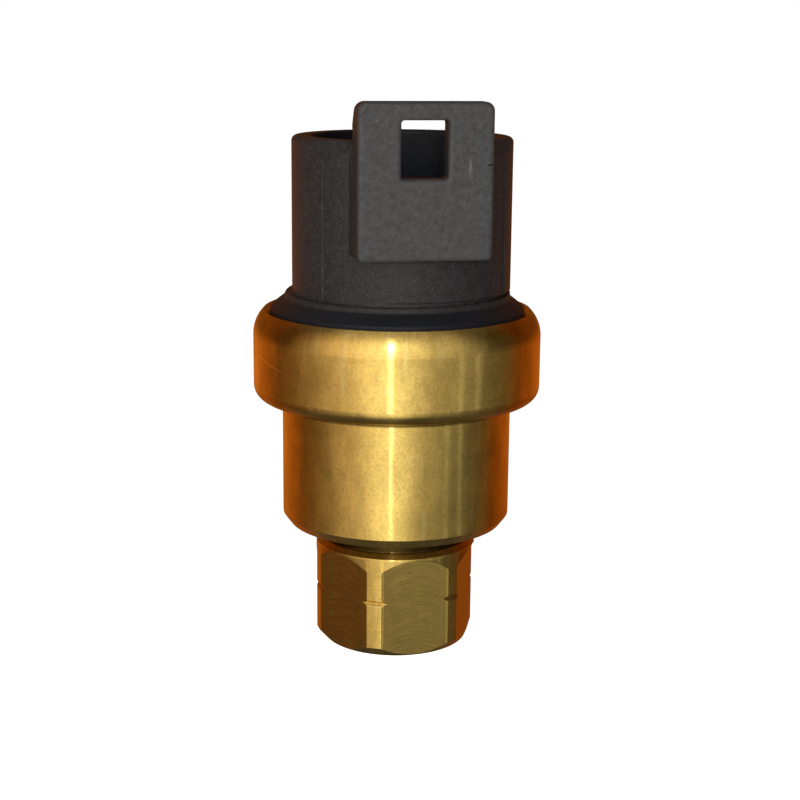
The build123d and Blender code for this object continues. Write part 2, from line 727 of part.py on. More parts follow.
with BuildPart() as connector_housing:
    # flange held under the crimp, and the conical base above it
    flange_radius = flange_bore_radius - fit_gap
    held_radius = curl_inner_radius - fit_gap
    with BuildSketch(Plane.XZ):
        with BuildLine():
            edge_line = Polyline(
                (0, flange_seat_z + touch_gap),
                (flange_radius, flange_seat_z + touch_gap),
                (flange_radius, curl_centre[1]),
            )
            held_arc = CenterArc(curl_centre, held_radius, 0, curl_angle)
            shoulder_radius = (held_arc @ 1).X
            cone_radius = shoulder_radius - shoulder_chamfer - cone_run
            rise = Line(held_arc @ 1, (shoulder_radius, shoulder_z - shoulder_chamfer))
            Polyline(
                rise @ 1,
                (shoulder_radius - shoulder_chamfer, shoulder_z),
                (cone_radius, collar_foot_z),
                (cone_radius - collar_lean, collar_top_z - collar_chamfer),
                (cone_radius - collar_lean - collar_chamfer, collar_top_z),
                (0, collar_top_z),
                (0, flange_seat_z + touch_gap),
            )
        make_face()
    revolve(axis=Axis.Z)

    # round shroud, a little off the body's axis
    with BuildSketch(Plane.XY.offset(web_bottom_z)):
        with Locations((shroud_offset_x, 0)):
            Circle(shroud_radius)
    extrude(amount=rim_z - web_bottom_z)
    fillet(connector_housing.edges().filter_by(GeomType.CIRCLE).sort_by(Axis.Z)[-1], rim_round)

    # latch block: side profile with the plate standing above the rim
    plate_back_y = -latch_reach + latch_plate_thickness
    with BuildSketch(Plane.YZ.offset(-latch_width / 2)):
        with BuildLine():
            Polyline(
                (-latch_reach, latch_bottom_z),
                (-latch_reach, latch_top_z),
                (plate_back_y, latch_top_z),
                (plate_back_y + latch_side_slope_y, rim_z),
                (-shroud_radius / 2, rim_z),
                (-shroud_radius / 2, latch_bottom_z),
                close=True,
            )
        make_face()
    extrude(amount=latch_width)
    upright = connector_housing.edges().filter_by(Axis.Y)
    fillet(upright.group_by(Axis.Z)[-1], latch_top_round)
    lower = connector_housing.edges().filter_by(Axis.Y).filter_by(lambda e: abs(e.center().Z - latch_bottom_z) < 0.01)
    fillet(lower, latch_bottom_round)
    front = connector_housing.faces().sort_by(Axis.Y)[0]
    fillet(front.edges(), latch_edge_round)

    # relief at the shroud's foot; the shroud's offset makes it deepest at +X
    with BuildSketch(Plane.XY.offset(collar_top_z)):
        Circle(shroud_radius + shroud_offset_x + 1)
        Circle(foot_groove_radius, mode=Mode.SUBTRACT)
    extrude(amount=foot_groove_height, mode=Mode.SUBTRACT)

    # round cavity and the latch channel behind the plate
    with BuildSketch(Plane.XY.offset(cavity_floor_z)):
        with Locations((shroud_offset_x, 0)):
            Circle(cavity_radius)
    extrude(amount=latch_top_z, mode=Mode.SUBTRACT)
    channel_floor_z = latch_bottom_z + latch_floor
    with BuildSketch(Plane.XY.offset(channel_floor_z)):
        with Locations((0, plate_back_y)):
            Rectangle(latch_width - 2 * latch_side_wall, -plate_back_y, align=(Align.CENTER, Align.MIN))
    extrude(amount=latch_top_z, mode=Mode.SUBTRACT)

    mouth = connector_housing.edges().filter_by(GeomType.CIRCLE).filter_by(lambda e: abs(e.radius - cavity_radius) < 0.001)
    fillet(mouth.filter_by(lambda e: abs(e.center().Z - rim_z) < 0.001), rim_inner_round)

    # window through the plate
    with BuildSketch(Plane.XZ.offset(latch_reach + 1)):
        with Locations((window_offset_x, (window_bottom_z + window_top_z) / 2)):
            RectangleRounded(window_width, window_top_z - window_bottom_z, window_corner_round)
    extrude(amount=-(latch_plate_thickness + 2), mode=Mode.SUBTRACT)
    face_wires = connector_housing.faces().sort_by(Axis.Y)[0].inner_wires()
    fillet(face_wires[0].edges(), window_edge_round)

    # shallow tapered facets that thin the shroud towards the rim, beside the latch
    for angle in (-90 - facet_angle, -90 + facet_angle):
        cx, cy, _ = on_circle(shroud_radius - facet_depth, angle)
        tilt = math.atan(facet_depth / facet_height)
        facet = Plane(
            origin=(shroud_offset_x + cx, cy, rim_z),
            x_dir=on_circle(1, angle + 90),
            z_dir=on_circle(math.cos(tilt), angle, math.sin(tilt)),
        )
        with BuildSketch(facet):
            Rectangle(4 * facet_height, 4 * facet_height)
        extrude(amount=1.5, mode=Mode.SUBTRACT)

    # parting ribs outside, keying ribs inside
    with BuildSketch(Plane.XY.offset(collar_top_z + foot_groove_height)):
        with Locations((shroud_offset_x, 0)):
            with Locations(*[on_circle(shroud_radius, -90 + s * parting_angle)[:2] for s in (-1, 1)]):
                Rectangle(2 * parting_height, parting_width)
    extrude(amount=rim_z - rib_end_drop - collar_top_z - foot_groove_height)
    for angle in (90 - key_angle, 90 + key_angle):
        rib = Plane(
            origin=(shroud_offset_x, 0, cavity_floor_z),
            x_dir=on_circle(1, angle),
            z_dir=(0, 0, 1),
        )
        with BuildSketch(rib):
            with Locations((cavity_radius - key_height, 0)):
                Rectangle(key_height + shroud_wall / 2, key_width, align=(Align.MIN, Align.CENTER))
        extrude(amount=rim_z - key_top_gap - cavity_floor_z)

    # pocket for the contacts and the slots for the three terminals
    with BuildSketch(Plane.XY.offset(flange_seat_z)):
        Circle(pocket_radius)
    extrude(amount=web_bottom_z - flange_seat_z, mode=Mode.SUBTRACT)
    with BuildSketch(Plane.XY.offset(web_bottom_z)):
        with Locations(*terminal_places):
            Rectangle(terminal_width + 2 * slot_gap, strip_thickness + 2 * slot_gap)
    extrude(amount=web_thickness, mode=Mode.SUBTRACT)
connector_housing.part.label = "connector_housing"
export_step(connector_housing.part, "parts/connector_housing.step")

with BuildPart() as terminal_potting:
    with BuildSketch(Plane.XY.offset(cavity_floor_z + touch_gap)):
        with Locations((shroud_offset_x, 0)):
            Circle(cavity_radius - fit_gap)
        for angle in (90 - key_angle, 90 + key_angle):
            with Locations((shroud_offset_x, 0)):
                with Locations(Location((0, 0), angle)):
                    with Locations((cavity_radius, 0)):
                        Rectangle(2 * (key_height + fit_gap), key_width + 2 * fit_gap, mode=Mode.SUBTRACT)
        with Locations(*terminal_places):
            Rectangle(terminal_width + 2 * touch_gap, strip_thickness + 2 * touch_gap, mode=Mode.SUBTRACT)
    extrude(amount=potting_thickness)
terminal_potting.part.label = "terminal_potting"
export_step(terminal_potting.part, "parts/terminal_potting.step")
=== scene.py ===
# %% [markdown]
# # A brass pressure switch
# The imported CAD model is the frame: every piece below is placed from it, in metres, with +Z up.
# The latch of the plastic connector faces -Y. This lesson dresses the frame with machined brass,
# moulded plastic, wound springs and a cut thread, and then lights it.

import json
import math

import bpy
from mathutils import Matrix, Vector


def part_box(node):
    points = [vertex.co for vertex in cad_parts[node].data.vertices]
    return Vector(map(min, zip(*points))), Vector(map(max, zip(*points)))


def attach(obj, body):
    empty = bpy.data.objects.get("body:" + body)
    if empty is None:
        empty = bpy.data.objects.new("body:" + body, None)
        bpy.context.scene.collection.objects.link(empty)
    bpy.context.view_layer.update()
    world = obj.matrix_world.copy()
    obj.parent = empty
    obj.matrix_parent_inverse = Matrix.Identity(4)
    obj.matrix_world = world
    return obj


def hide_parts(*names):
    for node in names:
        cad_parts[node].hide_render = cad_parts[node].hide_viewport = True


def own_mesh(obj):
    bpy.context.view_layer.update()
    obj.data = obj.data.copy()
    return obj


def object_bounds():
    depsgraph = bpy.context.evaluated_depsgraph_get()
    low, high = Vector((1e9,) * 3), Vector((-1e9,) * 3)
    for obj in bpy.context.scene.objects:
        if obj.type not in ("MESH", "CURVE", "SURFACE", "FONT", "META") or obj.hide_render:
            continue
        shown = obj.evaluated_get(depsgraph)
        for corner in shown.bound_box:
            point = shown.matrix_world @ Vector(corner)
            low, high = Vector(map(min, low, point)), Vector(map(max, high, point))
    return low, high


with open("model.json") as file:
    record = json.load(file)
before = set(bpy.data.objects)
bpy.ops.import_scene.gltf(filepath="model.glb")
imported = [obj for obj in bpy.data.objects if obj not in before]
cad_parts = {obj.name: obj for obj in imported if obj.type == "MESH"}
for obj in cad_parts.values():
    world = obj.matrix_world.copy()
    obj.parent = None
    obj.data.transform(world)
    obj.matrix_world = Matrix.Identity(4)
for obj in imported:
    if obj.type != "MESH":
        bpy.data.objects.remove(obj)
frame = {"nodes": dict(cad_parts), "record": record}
cad_low, cad_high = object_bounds()
nodes = frame["nodes"]
MM = 0.001
print("CAD box", [round(v / MM, 2) for v in (*cad_low, *cad_high)])


# %% [markdown]
# ## Camera
# The switch is seen a little from the -X side of its front and from slightly above, close enough for
# the round edges to open into ellipses. A camera is placed by an azimuth and a distance round the
# body's axis, then pitched down, so no lens shift is needed.

# %% Camera
CAMERA_AZIMUTH = math.radians(-11.2)
CAMERA_DISTANCE = 171.75 * MM
CAMERA_HEIGHT = 65.16 * MM
CAMERA_SIDESTEP = 0.39 * MM
CAMERA_PITCH = math.radians(12.70)
CAMERA_ROLL = math.radians(0.52)
CAMERA_LENS = 72.9

camera_back = Vector((math.sin(CAMERA_AZIMUTH), -math.cos(CAMERA_AZIMUTH), 0))
camera_right = Vector((math.cos(CAMERA_AZIMUTH), math.sin(CAMERA_AZIMUTH), 0))
camera_data = bpy.data.cameras.new("camera")
camera_data.lens = CAMERA_LENS
camera_data.sensor_width = 36
camera_data.clip_start = 1 * MM
camera = bpy.data.objects.new("camera", camera_data)
bpy.context.scene.collection.objects.link(camera)
camera.location = (camera_back * CAMERA_DISTANCE + camera_right * CAMERA_SIDESTEP
                   + Vector((0, 0, CAMERA_HEIGHT)))
turn = (Matrix.Rotation(CAMERA_AZIMUTH, 4, "Z") @ Matrix.Rotation(math.pi / 2 - CAMERA_PITCH, 4, "X")
        @ Matrix.Rotation(CAMERA_ROLL, 4, "Z"))
camera.rotation_euler = turn.to_euler()
bpy.context.scene.camera = camera
bpy.context.scene.view_settings.view_transform = "Standard"
print("camera at", [round(v / MM, 1) for v in camera.location])


# %% [markdown]
# ## Node helpers
# Materials are small graphs, so a few helpers keep each one readable: one adds a node and sets its
# inputs, the others wrap the maths and texture nodes that every finish uses.

# %% Node helpers
class Graph:
    """A node tree, with short calls for the nodes that the finishes share."""

    def __init__(self, tree, output):
        self.tree = tree
        self.tree.nodes.clear()
        self.out = self.tree.nodes.new(output)

    def link(self, source, target):
        self.tree.links.new(source, target)

    def put(self, target, value):
        """Links a socket to an input, or sets a plain value on it."""
        if isinstance(value, bpy.types.NodeSocket):
            self.link(value, target)
        else:
            target.default_value = value

    def node(self, kind, inputs=None, **settings):
        made = self.tree.nodes.new(kind)
        for name, value in settings.items():
            setattr(made, name, value)
        for key, value in (inputs or {}).items():
            self.put(made.inputs[key], value)
        return made

    def math(self, operation, *values):
        made = self.node("ShaderNodeMath", operation=operation)
        for index, value in enumerate(values):
            self.put(made.inputs[index], value)
        return made.outputs[0]

    def place(self, scale=(1, 1, 1)):
        """Object coordinates in millimetres, stretched by scale."""
        coordinates = self.node("ShaderNodeTexCoord").outputs["Object"]
        size = [s / MM for s in scale]
        return self.node("ShaderNodeMapping", {"Vector": coordinates, "Scale": size}).outputs[0]

    def split(self, vector):
        return self.node("ShaderNodeSeparateXYZ", {"Vector": vector}).outputs

    def join(self, x, y, z=0.0):
        return self.node("ShaderNodeCombineXYZ", {"X": x, "Y": y, "Z": z}).outputs[0]

    def noise(self, where, scale=1.0, detail=3.0, roughness=0.5, distortion=0.0):
        made = self.node("ShaderNodeTexNoise", {"Vector": where, "Scale": scale, "Detail": detail,
                                                "Roughness": roughness, "Distortion": distortion})
        return made.outputs["Fac"]

    def range(self, value, low, high, to_low=0.0, to_high=1.0):
        """Stretches a value from low..high to to_low..to_high, clamped."""
        made = self.node("ShaderNodeMapRange", {"Value": value, "From Min": low, "From Max": high,
                                                "To Min": to_low, "To Max": to_high})
        return made.outputs[0]

    def band(self, value, middle, half, soft):
        """1 within half of the middle, falling to 0 over soft."""
        away = self.math("ABSOLUTE", self.math("SUBTRACT", value, middle))
        return self.range(away, half + soft, half)

    def mix(self, factor, first, second):
        """Mixes two colours."""
        made = self.node("ShaderNodeMix", data_type="RGBA")
        self.put(made.inputs["Factor"], factor)
        self.put(made.inputs[6], first)
        self.put(made.inputs[7], second)
        return made.outputs[2]

    def worn_edges(self, radius, least=0.02, most=0.16):
        """The normal with its edges broken, and a mask that is 1 along those edges."""
        soft = self.node("ShaderNodeBevel", {"Radius": radius * MM}, samples=6).outputs[0]
        flat = self.node("ShaderNodeNewGeometry").outputs["Normal"]
        same = self.node("ShaderNodeVectorMath", {0: soft, 1: flat}, operation="DOT_PRODUCT")
        return soft, self.range(same.outputs["Value"], 1 - least, 1 - most)

    def bump(self, height, distance, normal=None):
        """Bump from a height of 0 to 1, whose full step is distance millimetres."""
        made = self.node("ShaderNodeBump", {"Height": height, "Distance": distance * MM})
        if normal is not None:
            self.link(normal, made.inputs["Normal"])
        return made.outputs[0]

    def shader(self, anisotropy=0.0, specular=0.5, **inputs):
        made = self.node("ShaderNodeBsdfPrincipled")
        for name, value in inputs.items():
            self.put(made.inputs[name.replace("_", " ")], value)
        made.inputs["Specular IOR Level"].default_value = specular
        if anisotropy:
            made.inputs["Anisotropic"].default_value = anisotropy
            made.inputs["Anisotropic Rotation"].default_value = 0.25
            tangent = self.node("ShaderNodeTangent", direction_type="RADIAL", axis="Z").outputs[0]
            self.link(tangent, made.inputs["Tangent"])
        self.link(made.outputs[0], self.out.inputs["Surface"])


def new_material(name):
    material = bpy.data.materials.new(name)
    material.use_nodes = True
    return material, Graph(material.node_tree, "ShaderNodeOutputMaterial")


def rgb(red, green, blue):
    return (red, green, blue, 1.0)


# %% [markdown]
# ## Machined brass
# The body is turned, so its finish is fine rings round the axis: they spread highlights into upright
# streaks, which is anisotropy. Handling leaves soft brown and olive smudges and a few light scratches.
# The six flats are milled instead, and carry shallow arcs left by the cutter. Sharp turned edges are
# slightly broken on the real part, which a small bevel in the shading gives on top of the chamfers.
# The neck and the corner under the ring are painted dark as shade: painted shade that stays on
# the metal from every side.

# %% Brass of the port body
HEX_TOP = 11.6
FLAT_TOP = HEX_TOP - 0.74            # where the milled flats run out
FLAT_RADIUS = 15.875 / 2
FLAT_HALF_WIDTH = 3.5
CUTTER_RADIUS = 5.6
HEX_CLOCKING = math.radians(4.7)
EDGE_BREAK = 0.10
RING_SLOPE = 0.83                    # how fast the turned rings step with radius
NECK_LEVEL, NECK_HALF_HEIGHT, NECK_RADIUS = 12.6, 0.95, 8.2
UNDER_RING_LEVEL, UNDER_RING_RADIUS = 26.5, 12.6
GOUGE_ANGLE = math.radians(-160.5)   # round the axis, from +X
GOUGE_SLOPE = 2.4                    # how far the gouge climbs, in millimetres for each radian
GOUGE_LEVEL = 31.9 + GOUGE_SLOPE * GOUGE_ANGLE
GOUGED_RADIUS = 15.3


def make_body_brass():
    material, g = new_material("body_brass")
    x, y, z = g.split(g.place())
    around = g.math("ARCTAN2", y, x)
    radius = g.math("SQRT", g.math("ADD", g.math("MULTIPLY", x, x), g.math("MULTIPLY", y, y)))

    # turned rings: one coordinate along the axis and radius, a very slow one round it
    along = g.math("ADD", z, g.math("MULTIPLY", radius, RING_SLOPE))
    ring_place = g.join(g.math("MULTIPLY", along, 9.0), g.math("MULTIPLY", around, 0.7))
    rings = g.noise(ring_place, detail=4.0, roughness=0.7)
    bands = g.noise(ring_place, scale=0.16, detail=3.0)

    # milled flats: arcs of the cutter, stepped down the face
    folded = g.math("WRAP", g.math("SUBTRACT", around, HEX_CLOCKING), math.pi / 3, 0.0)
    folded = g.math("SUBTRACT", folded, math.pi / 6)
    across = g.math("MULTIPLY", g.math("TANGENT", folded), FLAT_RADIUS)
    inside = g.math("SUBTRACT", CUTTER_RADIUS ** 2, g.math("MULTIPLY", across, across))
    inside = g.math("MAXIMUM", inside, 0.1)
    arc_level = g.math("SUBTRACT", z, g.math("SQRT", inside))
    arcs = g.noise(g.join(g.math("MULTIPLY", arc_level, 6.5), g.math("MULTIPLY", across, 0.30)),
                   detail=3.0, roughness=0.6)
    on_hex = g.math("LESS_THAN", z, FLAT_TOP)
    within = g.math("LESS_THAN", g.math("ABSOLUTE", across), FLAT_HALF_WIDTH)
    on_flat = g.math("MULTIPLY", on_hex, within)

    # smudges, tarnish, drips and scratches, then painted shade in the neck and under the ring
    blotch = g.noise(g.place((0.13, 0.13, 0.10)), detail=5.0, roughness=0.6, distortion=0.8)
    tarnish = g.range(blotch, 0.46, 0.68)
    mottle = g.range(g.noise(g.place((0.55, 0.55, 0.28)), detail=5.0, roughness=0.65), 0.42, 0.72)
    speck = g.range(g.noise(g.place((1.7, 1.7, 1.7)), detail=2.0), 0.70, 0.76)
    drip_place = g.join(g.math("MULTIPLY", around, 14.0), g.math("MULTIPLY", z, 0.10))
    drips = g.range(g.noise(drip_place, detail=2.0), 0.62, 0.72)
    scratch = g.range(g.noise(g.place((0.5, 0.5, 7.0)), detail=2.0), 0.70, 0.73)
    fine = g.range(g.noise(g.place((3.2, 3.2, 3.2)), detail=3.0, roughness=0.7), 0.45, 0.75)
    gouge_level = g.math("ADD", z, g.math("MULTIPLY", around, GOUGE_SLOPE))
    gouge = g.math("MULTIPLY", g.band(gouge_level, GOUGE_LEVEL, 0.035, 0.05),
                   g.band(around, GOUGE_ANGLE, 0.12, 0.10))
    gouge = g.math("MULTIPLY", gouge, g.range(radius, GOUGED_RADIUS - 0.1, GOUGED_RADIUS))
    # painted shade: the neck and the corner under the ring are darkened where shade falls
    in_neck = g.math("MULTIPLY", g.band(z, NECK_LEVEL, NECK_HALF_HEIGHT, 0.15),
                     g.range(radius, NECK_RADIUS + 0.4, NECK_RADIUS))
    under_ring = g.math("MULTIPLY", g.range(z, UNDER_RING_LEVEL - 0.3, UNDER_RING_LEVEL),
                        g.range(radius, UNDER_RING_RADIUS + 0.3, UNDER_RING_RADIUS))
    neck_ring_shade = g.math("MAXIMUM", in_neck, under_ring)

    colour = g.mix(g.math("MULTIPLY", tarnish, 0.75), rgb(0.82, 0.575, 0.185), rgb(0.60, 0.43, 0.13))
    colour = g.mix(g.math("MULTIPLY", mottle, 0.65), colour, rgb(0.46, 0.32, 0.10))
    colour = g.mix(g.math("MULTIPLY", fine, 0.60), colour, rgb(0.44, 0.30, 0.10))
    colour = g.mix(g.math("MULTIPLY", drips, 0.25), colour, rgb(0.85, 0.74, 0.42))
    colour = g.mix(g.math("MULTIPLY", speck, 0.45), colour, rgb(0.30, 0.17, 0.06))
    grooved = g.math("MULTIPLY", on_flat, g.range(arcs, 0.40, 0.62, 0.80, 0.32))
    colour = g.mix(grooved, colour, rgb(0.42, 0.29, 0.10))
    colour = g.mix(g.math("MULTIPLY", scratch, 0.25), colour, rgb(0.95, 0.80, 0.48))
    colour = g.mix(g.math("MULTIPLY", gouge, 0.8), colour, rgb(1.0, 0.85, 0.60))
    # painted shade in the neck and under the ring
    colour = g.mix(g.math("MULTIPLY", neck_ring_shade, 0.95), colour, rgb(0.018, 0.008, 0.003))

    roughness = g.math("ADD", g.range(blotch, 0.3, 0.7, 0.13, 0.21),
                       g.range(bands, 0.3, 0.7, -0.02, 0.03))
    roughness = g.math("SUBTRACT", roughness, g.math("MULTIPLY", on_flat, 0.05))
    turned = g.math("MULTIPLY", rings, g.math("SUBTRACT", 1.0, on_flat))
    milled = g.math("MULTIPLY", arcs, g.math("MULTIPLY", on_flat, 3.0))
    height = g.math("ADD", g.math("ADD", turned, milled), g.math("MULTIPLY", scratch, -0.7))
    broken, edges = g.worn_edges(EDGE_BREAK)
    worn = g.math("MULTIPLY", edges, g.range(mottle, 0.0, 1.0, 0.75, 0.2))
    colour = g.mix(worn, colour, rgb(0.90, 0.70, 0.34))
    g.shader(anisotropy=0.96, Base_Color=colour, Metallic=1.0, Roughness=roughness,
             Normal=g.bump(height, 0.003, broken))
    return material


# %% [markdown]
# ## Black moulded plastic
# The connector is one black moulding with a fine spark-eroded grain. The plate's face is given a
# slightly paler, grainier tone than the shroud, a chosen tone. The cone and the inside are painted
# darker as painted shade. Both are the same from every side. The plate also carries one small nick
# and one thin scuff, and its edges are worn paler: partly wear, partly a painted highlight. Its
# other highlights come from the lights alone.

# %% Black plastic of the connector
PLATE_FRONT = -14.0
SHROUD_OFFSET = 0.41                 # along X, from the body's axis
INSIDE_RADIUS = 9.8
INSIDE_BOTTOM = 38.0
CONE_TOP = 37.98
NICK_AT = (6.35, 52.9)               # X and Z on the plate
SCUFF_AT = (4.3, 52.5)
WORN_EDGE = 0.22


def make_housing_plastic():
    material, g = new_material("housing_plastic")
    where = g.place()
    x, y, z = g.split(where)
    grain = g.noise(where, scale=5.0, detail=4.0, roughness=0.7)
    coarse = g.noise(where, scale=1.6, detail=5.0, roughness=0.65)
    plate = g.range(y, PLATE_FRONT + 0.3, PLATE_FRONT)

    nick = g.math("MULTIPLY", g.band(x, NICK_AT[0], 0.18, 0.15),
                  g.band(z, NICK_AT[1], 0.02, 0.09))
    nick = g.math("MULTIPLY", nick, plate)
    scuff = g.math("MULTIPLY", g.band(x, SCUFF_AT[0], 0.02, 0.22),
                   g.band(z, SCUFF_AT[1], 0.5, 0.7))
    scuff = g.math("MULTIPLY", g.math("MULTIPLY", scuff, plate), g.range(grain, 0.4, 0.7))

    flecks = g.range(g.noise(where, scale=4.6, detail=4.0, roughness=0.7), 0.55, 0.72)
    tone = g.range(coarse, 0.3, 0.7)
    shell = g.mix(tone, rgb(0.010, 0.0095, 0.010), rgb(0.020, 0.019, 0.021))
    face = g.mix(tone, rgb(0.024, 0.0235, 0.025), rgb(0.046, 0.045, 0.047))
    colour = g.mix(plate, shell, face)
    across = g.math("SUBTRACT", x, SHROUD_OFFSET)
    radius = g.math("SQRT", g.math("ADD", g.math("MULTIPLY", across, across), g.math("MULTIPLY", y, y)))
    # painted shade: the inside of the shroud and the cone are darkened
    inner = g.math("MULTIPLY", g.range(radius, INSIDE_RADIUS + 0.6, INSIDE_RADIUS),
                   g.math("GREATER_THAN", z, INSIDE_BOTTOM))
    cone = g.range(z, CONE_TOP, CONE_TOP - 0.13)
    colour = g.mix(g.math("MULTIPLY", flecks, 0.45), colour, rgb(0.086, 0.084, 0.086))
    cone_inside_shade = g.math("MAXIMUM", g.math("MULTIPLY", cone, 0.75), inner)
    colour = g.mix(cone_inside_shade, colour, rgb(0.004, 0.005, 0.008))
    colour = g.mix(g.math("MULTIPLY", scuff, 0.7), colour, rgb(0.16, 0.155, 0.145))
    colour = g.mix(nick, colour, rgb(0.012, 0.012, 0.012))
    roughness = g.range(coarse, 0.3, 0.7, 0.34, 0.44)
    height = g.math("ADD", grain, g.math("MULTIPLY", coarse, 0.5))
    height = g.math("SUBTRACT", height, g.math("MULTIPLY", nick, 3.0))
    # the plate's edges are worn paler: partly wear, partly a painted highlight along them
    broken, edges = g.worn_edges(WORN_EDGE)
    worn = g.math("MULTIPLY", g.math("MULTIPLY", edges, plate), g.range(coarse, 0.35, 0.6, 0.2, 1.0))
    colour = g.mix(g.math("MULTIPLY", worn, 0.8), colour, rgb(0.19, 0.185, 0.185))
    g.shader(specular=0.22, Base_Color=colour, Roughness=roughness,
             Normal=g.bump(height, 0.040, broken))
    return material


# %% [markdown]
# ## The other finishes
# Inside are turned, drawn, plated, sintered and moulded pieces. Two families cover them: a metal with
# machining rings or rolling lines and patchy tarnish, and a matt material with a grain.

# %% Metals and matt materials
def make_metal(name, clean, stained, roughness, lines=(8.0, 8.0, 8.0), relief=0.002, pits=0.0):
    """A bare metal: stretched lines, soft stains and, if pits is set, open pores."""
    material, g = new_material(name)
    stain = g.range(g.noise(g.place((0.5, 0.5, 0.5)), detail=4.0, roughness=0.6), 0.40, 0.70)
    drawn = g.noise(g.place(lines), detail=3.0, roughness=0.6)
    colour = g.mix(g.math("MULTIPLY", stain, 0.6), rgb(*clean), rgb(*stained))
    rough = g.math("ADD", g.range(stain, 0.0, 1.0, roughness, roughness + 0.12),
                   g.range(drawn, 0.3, 0.7, -0.03, 0.03))
    height = drawn
    if pits:
        pore = g.node("ShaderNodeTexVoronoi", {"Vector": g.place((pits, pits, pits))})
        pore = pore.outputs["Distance"]
        colour = g.mix(g.range(pore, 0.35, 0.75), colour, rgb(0.05, 0.035, 0.02))
        height = g.math("SUBTRACT", drawn, g.math("MULTIPLY", pore, 6.0))
    g.shader(Base_Color=colour, Metallic=1.0, Roughness=rough, Normal=g.bump(height, relief))
    return material


def make_matt(name, colour, worn, roughness, grain=6.0, relief=0.008, specular=0.5):
    """A moulded, ground or poured material: two close tones, a grain and uneven gloss."""
    material, g = new_material(name)
    where = g.place()
    tone = g.range(g.noise(where, scale=0.8, detail=5.0, roughness=0.6), 0.3, 0.7)
    fine = g.noise(where, scale=grain, detail=4.0, roughness=0.65)
    g.shader(specular=specular, Base_Color=g.mix(tone, rgb(*colour), rgb(*worn)),
             Roughness=g.range(tone, 0.0, 1.0, roughness, roughness + 0.1), Normal=g.bump(fine, relief))
    return material


ROLLED = (14.0, 1.2, 14.0)           # lines along Y
RINGED = (0.6, 0.6, 16.0)            # rings round Z
finishes = {
    "body_brass": make_body_brass(),
    "housing_plastic": make_housing_plastic(),
    "plated_brass": make_metal("plated_brass", (0.76, 0.72, 0.62), (0.60, 0.55, 0.44), 0.24, RINGED),
    "copper": make_metal("copper", (0.90, 0.46, 0.30), (0.50, 0.22, 0.13), 0.34, (3.0, 3.0, 10.0)),
    "sintered_bronze": make_metal("sintered_bronze", (0.62, 0.42, 0.22), (0.40, 0.26, 0.14), 0.5,
                                  pits=3.4, relief=0.02),
    "spring_foil": make_metal("spring_foil", (0.64, 0.63, 0.61), (0.52, 0.50, 0.46), 0.22, ROLLED),
    "zinc_steel": make_metal("zinc_steel", (0.68, 0.69, 0.70), (0.58, 0.56, 0.48), 0.32, RINGED),
    "turned_aluminium": make_metal("turned_aluminium", (0.80, 0.81, 0.82), (0.68, 0.69, 0.70), 0.28,
                                   RINGED),
    "spring_steel": make_metal("spring_steel", (0.42, 0.41, 0.40), (0.22, 0.19, 0.16), 0.32,
                               (5.0, 5.0, 12.0)),
    "turned_brass": make_metal("turned_brass", (0.82, 0.60, 0.24), (0.58, 0.40, 0.14), 0.26, RINGED),
    "contact_bronze": make_metal("contact_bronze", (0.80, 0.52, 0.30), (0.55, 0.34, 0.18), 0.24,
                                 ROLLED),
    "contact_silver": make_metal("contact_silver", (0.93, 0.92, 0.90), (0.60, 0.56, 0.48), 0.22,
                                 RINGED),
    "tinned_terminal": make_metal("tinned_terminal", (0.78, 0.77, 0.74), (0.60, 0.58, 0.54), 0.30,
                                  ROLLED),
    "seal_rubber": make_matt("seal_rubber", (0.018, 0.018, 0.018), (0.030, 0.029, 0.028), 0.55, 4.0),
    "ceramic_pin": make_matt("ceramic_pin", (0.82, 0.80, 0.75), (0.74, 0.71, 0.64), 0.24, 9.0, 0.003),
    "bush_plastic": make_matt("bush_plastic", (0.74, 0.71, 0.61), (0.66, 0.62, 0.52), 0.42, 5.0),
    "carrier_plastic": make_matt("carrier_plastic", (0.46, 0.38, 0.26), (0.36, 0.29, 0.19), 0.46,
                                 7.0, 0.012),
    "potting_resin": make_matt("potting_resin", (0.012, 0.012, 0.013), (0.020, 0.019, 0.019), 0.16,
                               0.5, 0.06),
}
slot_of = {part["node"]: part["material_slot"] for part in frame["record"]["subparts"]}
for node_name, node_object in nodes.items():
    node_object.data.materials.clear()
    node_object.data.materials.append(finishes[slot_of[node_name]])
print(len(finishes), "finishes on", len(nodes), "nodes")


# %% [markdown]
# ## Things that follow a helix
# A flare port of this size has a 7/16-20 thread, and the two springs are wound wire. All three are a
# profile swept along a helix, so one Geometry Nodes group makes them: a spiral, eased towards its ends
# so that a spring's end turns lie close, then a round or three-sided profile along it.

